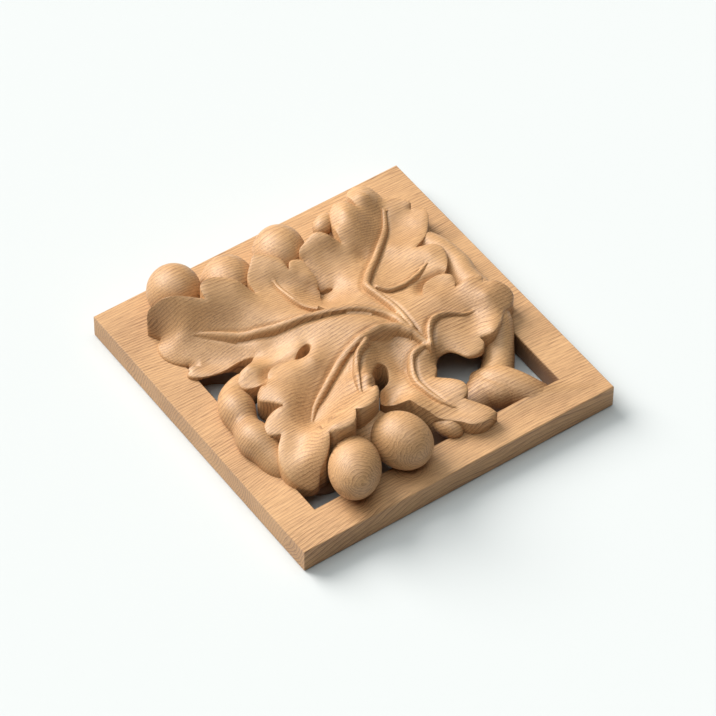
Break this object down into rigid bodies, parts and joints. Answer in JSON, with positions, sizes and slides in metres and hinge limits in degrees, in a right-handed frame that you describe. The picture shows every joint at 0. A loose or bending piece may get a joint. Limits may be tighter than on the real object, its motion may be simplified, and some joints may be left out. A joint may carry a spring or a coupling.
{
  "type": "decorative rosette",
  "caption": "Square carved wooden rosette: a broad oak leaf with acorns and its stalk, in high relief over an open square frame.",
  "frame": {"origin": "middle of the flat back, where the panel lies against the wall or furniture it is fixed to", "axes": "+Z out of the carved face; X and Y along the sides of the square frame, with the two full acorns beside the -Y side and the stalk's foot at the +X -Y corner"},
  "size_m": [0.1, 0.1, 0.024],
  "materials": {
    "wood": "sanded bare light oak, satin"
  },
  "bodies": {
    "root": {"rosette": "wood"}
  },
  "joints": []
}
